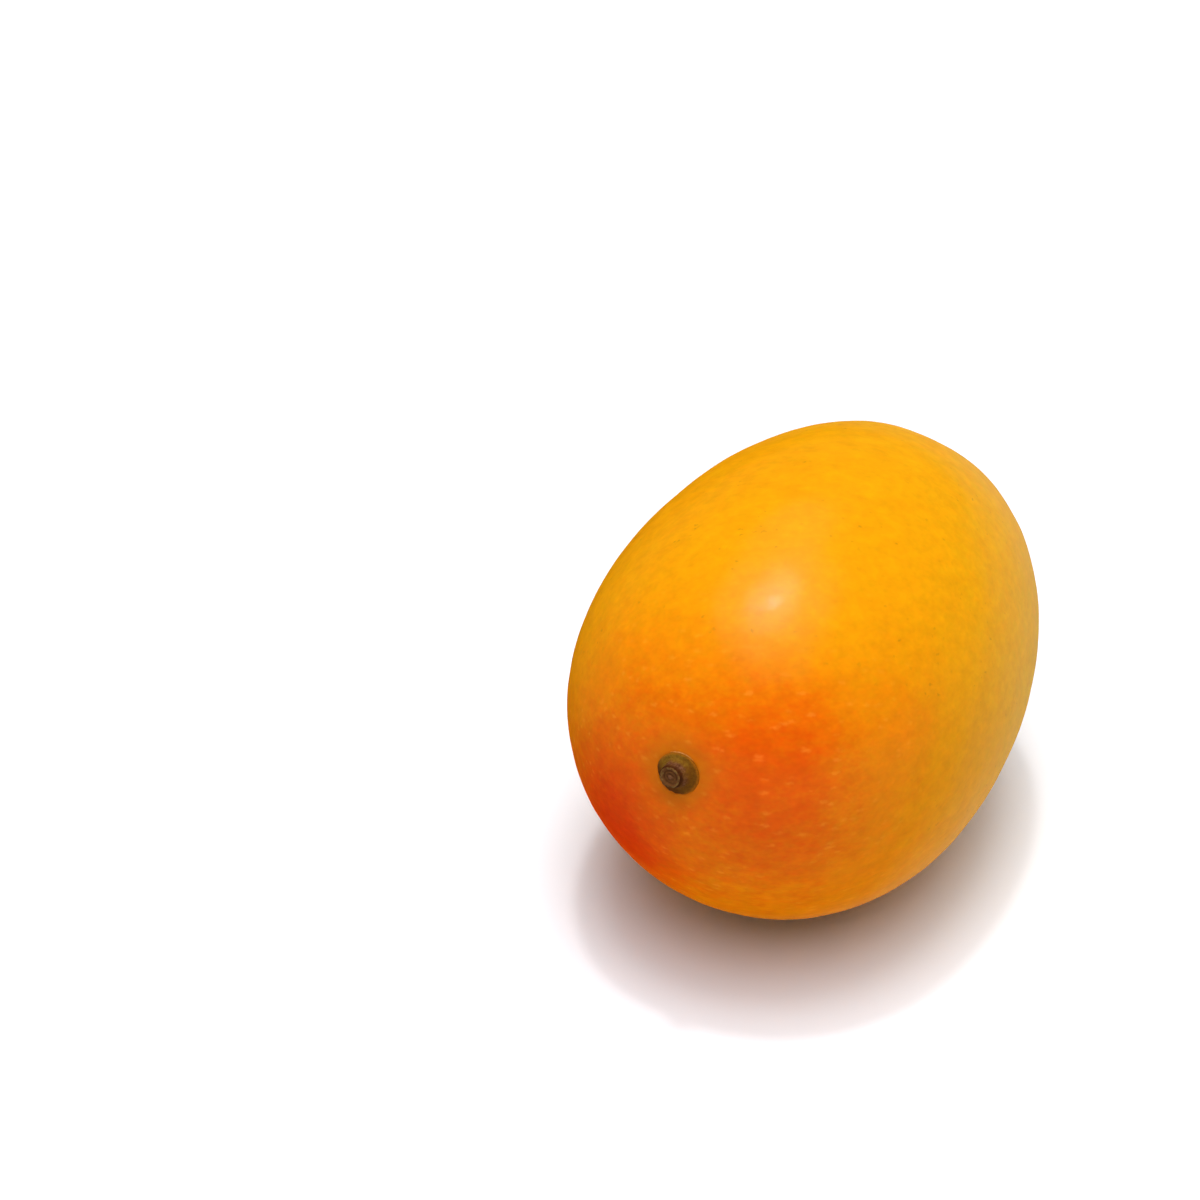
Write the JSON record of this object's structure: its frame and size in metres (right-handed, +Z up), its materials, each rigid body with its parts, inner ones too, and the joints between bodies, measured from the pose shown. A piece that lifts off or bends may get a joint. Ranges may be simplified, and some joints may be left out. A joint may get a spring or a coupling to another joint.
{
  "type": "mango",
  "caption": "Whole ripe mango lying on its narrow side, egg-shaped with a soft beak near the blunt apex, and a short woody stub of its stalk in a shallow basin.",
  "frame": {"origin": "middle of the bounding box's underside, on the surface that the fruit lies on", "axes": "+X along the fruit from the stalk to the apex, +Y across its narrower width, +Z up"},
  "size_m": [0.112, 0.0776, 0.086],
  "materials": {
    "skin": "waxy fruit skin with a soft sheen, golden yellow with an orange-red blush round the stalk end and fine pale dots",
    "stem": "dry brown bark on the stub, with a thin olive-brown collar"
  },
  "bodies": {
    "root": {"fruit": "skin", "stem_stub": "stem"}
  },
  "joints": []
}
